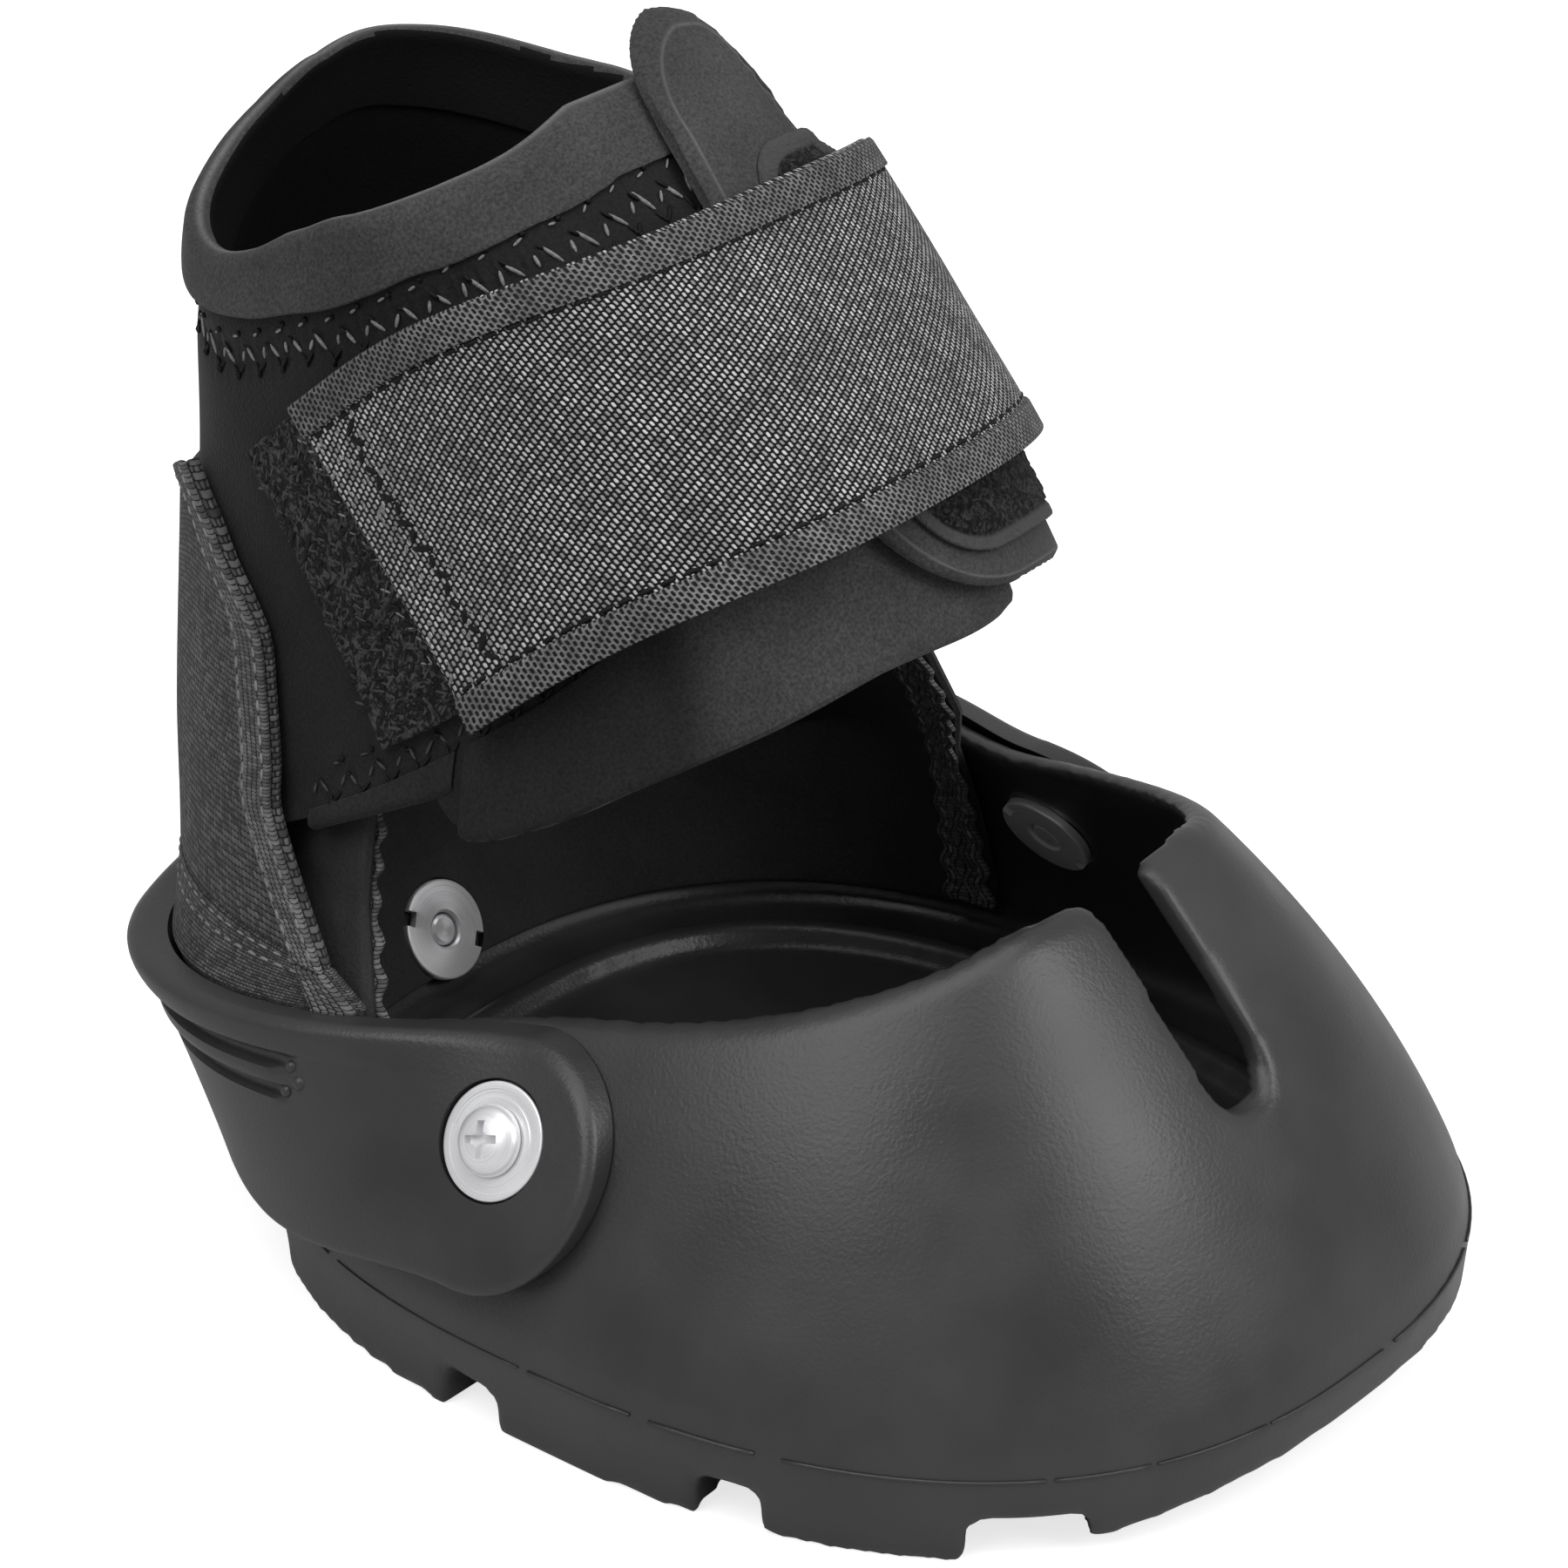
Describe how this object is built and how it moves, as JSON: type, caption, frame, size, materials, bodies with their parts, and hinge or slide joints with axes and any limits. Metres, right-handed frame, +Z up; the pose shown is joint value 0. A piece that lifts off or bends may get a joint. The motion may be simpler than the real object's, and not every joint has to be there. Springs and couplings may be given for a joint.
{
  "type": "horse hoof boot",
  "caption": "Slip-on horse hoof boot: moulded rubber shell with lugged tread and toe slot, heel cradle bolted on, and a folding pastern gaiter closed by a tab and strap.",
  "frame": {"origin": "middle of the boot's length and width, on the ground under the tread", "axes": "+Z up, -Y toward the toe, +Y toward the heel, +X toward the side that the strap closes on"},
  "size_m": [0.1276, 0.1722, 0.144],
  "materials": {
    "black_rubber": "satin",
    "cradle_rubber": "satin",
    "neoprene": "matte",
    "edge_binding": "matte",
    "coarse_nylon": "matte",
    "lining_cloth": "satin",
    "strap_webbing": "matte",
    "loop_tape": "matte",
    "hook_tape": "satin",
    "zinc_steel": "bright"
  },
  "bodies": {
    "boot": {"shell": "black_rubber", "heel_cradle": "cradle_rubber", "heel_lining": "lining_cloth", "heel_panel": "coarse_nylon", "side_left_screw": "zinc_steel", "side_left_washer": "zinc_steel", "side_left_t_nut": "zinc_steel", "side_right_screw": "zinc_steel", "side_right_washer": "zinc_steel", "side_right_t_nut": "zinc_steel", "heel_screw": "zinc_steel", "heel_washer": "zinc_steel", "heel_t_nut": "zinc_steel"},
    "gaiter": {"cuff": "neoprene", "cuff_top_binding": "edge_binding", "cuff_foot_binding_left": "edge_binding", "cuff_foot_binding_right": "edge_binding", "back_panel": "coarse_nylon", "panel_binding_left": "edge_binding", "panel_binding_right": "edge_binding", "strap_anchor": "strap_webbing"},
    "tab": {"closing_tab": "neoprene", "loop_patch": "loop_tape"},
    "strap_end": {"strap": "strap_webbing", "strap_binding_foot": "edge_binding", "strap_binding_top": "edge_binding", "hook_patch": "hook_tape"}
  },
  "joints": [
    {"name": "gaiter_fold", "type": "hinge", "parent": "boot", "child": "gaiter", "pos_m": [0, 0.07597, 0.045], "axis": [-1, 0, 0], "range_deg": [0, 60]},
    {"name": "strap_open", "type": "hinge", "parent": "gaiter", "child": "strap_end", "pos_m": [-0.03824, 0.02811, 0.09233], "axis": [-0.1168, -0.7243, -0.6795], "range_deg": [0, 75]},
    {"name": "tab_open", "type": "hinge", "parent": "gaiter", "child": "tab", "pos_m": [0.03543, 0.0094, 0.09353], "axis": [-0.1339, 0.4185, 0.8983], "range_deg": [0, 37.5]}
  ],
  "couplings": [
    {"joint": "tab_open", "follows": "strap_open", "ratio": 0.5}
  ]
}
